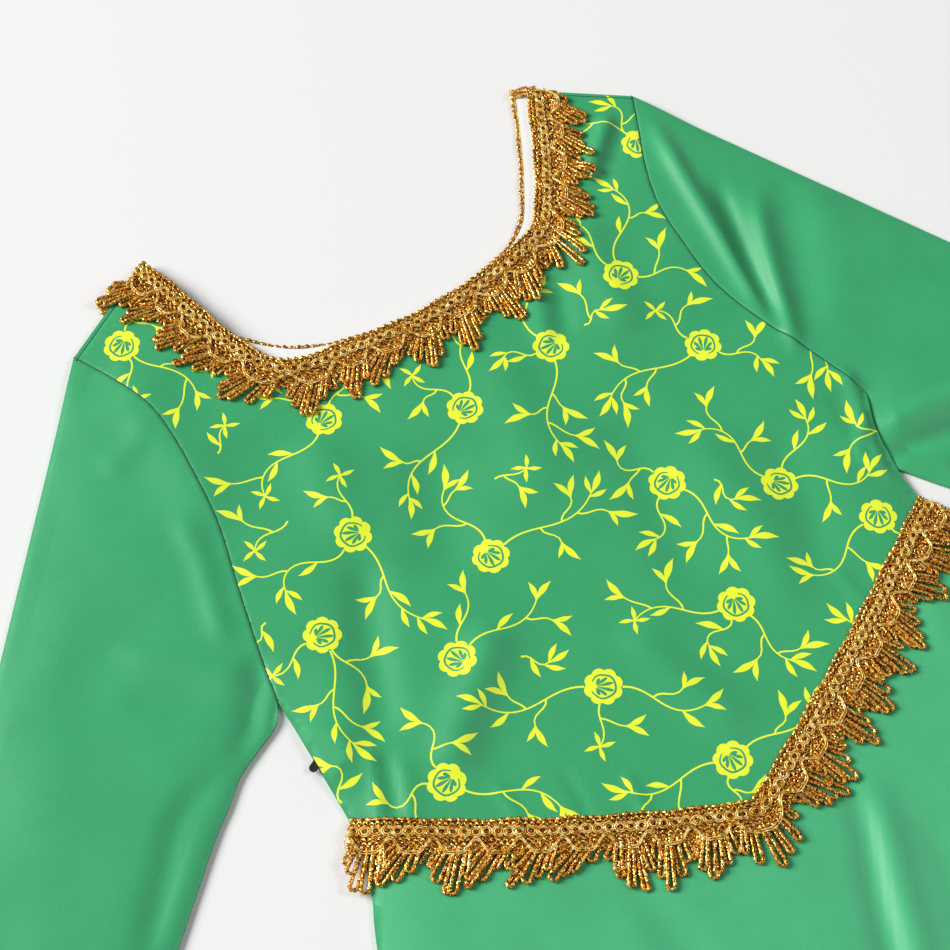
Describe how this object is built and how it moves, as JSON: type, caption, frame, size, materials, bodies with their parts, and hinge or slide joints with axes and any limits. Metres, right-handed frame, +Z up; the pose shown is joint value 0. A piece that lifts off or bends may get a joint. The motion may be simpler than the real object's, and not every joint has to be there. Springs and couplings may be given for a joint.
{
  "type": "costume dress",
  "caption": "Long-sleeved satin costume dress laid flat, printed bodice with scooped neck, V-pointed waist, flared skirt and looped gold braid.",
  "frame": {"origin": "on the surface that the dress lies on, under the middle of the back, level with the underarms", "axes": "+Z up from the surface to the front of the dress, +Y towards the neck, +X towards the wearer's left"},
  "size_m": [1.0401, 1.3743, 0.0105],
  "materials": {
    "printed_satin": "green satin printed with small yellow roses and stems",
    "green_satin": "plain green satin with a soft sheen",
    "gold_braid": "twisted metallic gold yarn",
    "black_zip": "black enamel"
  },
  "bodies": {
    "dress": {"bodice_front": "printed_satin", "bodice_back": "printed_satin", "skirt_front": "green_satin", "skirt_back": "green_satin", "sleeve_left": "green_satin", "sleeve_right": "green_satin", "neck_braid_front": "gold_braid", "neck_braid_back": "gold_braid", "waist_braid": "gold_braid", "zip_slider": "black_zip"},
    "pull": {"zip_pull": "black_zip"}
  },
  "joints": [
    {"name": "pull_swing", "type": "hinge", "parent": "dress", "child": "pull", "pos_m": [-0.193, -0.041, 0.003], "axis": [0, 0, 1], "range_deg": [-45, 45]}
  ]
}
